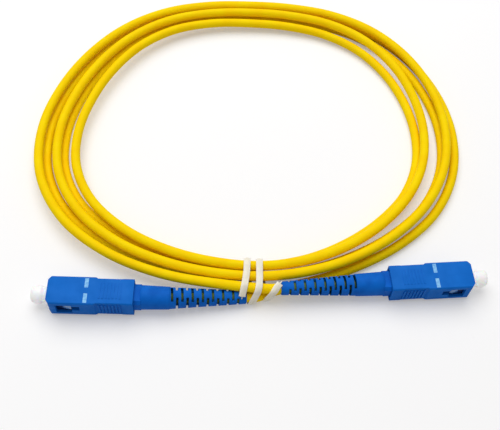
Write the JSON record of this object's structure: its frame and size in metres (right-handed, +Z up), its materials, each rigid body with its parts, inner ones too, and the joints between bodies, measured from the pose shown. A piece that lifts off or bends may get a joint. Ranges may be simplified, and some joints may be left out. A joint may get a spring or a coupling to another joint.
{
  "type": "fiber optic patch cord",
  "caption": "Yellow single-mode fibre optic patch cord, coiled and held by a white twist tie, with a blue push-pull square plug, slotted boot and clear dust cap on each end.",
  "frame": {"origin": "On the table, under the middle of the box that the two plugs fill", "axes": "+X runs from plug A to plug B, +Y points from the plugs into the loop, +Z is up"},
  "size_m": [0.1416, 0.1243, 0.0084],
  "materials": {
    "blue_plastic": "moulded, fine satin",
    "boot_rubber": "satin",
    "white_paint": "matt",
    "yellow_jacket": "smooth, slightly glossy PVC",
    "ceramic": "polished zirconia",
    "plated_metal": "nickel plated",
    "clear_cap": "soft translucent",
    "natural_plastic": "smooth",
    "aramid": "yarn",
    "glass_fibre": "clear",
    "tie_plastic": "satin"
  },
  "bodies": {
    "cord": {"plug_frame_a": "blue_plastic", "spring_a": "plated_metal", "stop_ring_a": "plated_metal", "crimp_ring_a": "plated_metal", "boot_a": "boot_rubber", "plug_frame_b": "blue_plastic", "spring_b": "plated_metal", "stop_ring_b": "plated_metal", "crimp_ring_b": "plated_metal", "boot_b": "boot_rubber", "jacket_coil": "yellow_jacket", "jacket_lead_a": "yellow_jacket", "jacket_lead_b": "yellow_jacket", "aramid_yarn": "aramid", "tight_buffer": "natural_plastic", "optical_fibre": "glass_fibre", "twist_tie": "tie_plastic", "tie_wire": "plated_metal"},
    "housing_a": {"outer_housing_a": "blue_plastic", "index_marks_a": "white_paint"},
    "ferrule_a": {"ferrule_a": "ceramic", "ferrule_flange_a": "plated_metal", "guide_tube_a": "natural_plastic", "bare_fibre_a": "glass_fibre"},
    "cap_a": {"dust_cap_a": "clear_cap"},
    "housing_b": {"outer_housing_b": "blue_plastic", "index_marks_b": "white_paint"},
    "ferrule_b": {"ferrule_b": "ceramic", "ferrule_flange_b": "plated_metal", "guide_tube_b": "natural_plastic", "bare_fibre_b": "glass_fibre"},
    "cap_b": {"dust_cap_b": "clear_cap"}
  },
  "joints": [
    {"name": "release_a", "type": "slide", "parent": "cord", "child": "housing_a", "axis": [-0.999, 0.0454, 0], "range_m": [-0.0016, 0]},
    {"name": "ferrule_spring_a", "type": "slide", "parent": "cord", "child": "ferrule_a", "axis": [-0.999, 0.0454, 0], "range_m": [-0.001, 0], "stiffness_N_per_m": 2000, "deforming": ["spring_a"]},
    {"name": "cap_off_a", "type": "slide", "parent": "cord", "child": "cap_a", "axis": [-0.999, 0.0454, 0], "range_m": [0, 0.012]},
    {"name": "release_b", "type": "slide", "parent": "cord", "child": "housing_b", "axis": [0.999, 0.0454, 0], "range_m": [-0.0016, 0]},
    {"name": "ferrule_spring_b", "type": "slide", "parent": "cord", "child": "ferrule_b", "axis": [0.999, 0.0454, 0], "range_m": [-0.001, 0], "stiffness_N_per_m": 2000, "deforming": ["spring_b"]},
    {"name": "cap_off_b", "type": "slide", "parent": "cord", "child": "cap_b", "axis": [0.999, 0.0454, 0], "range_m": [0, 0.012]}
  ]
}
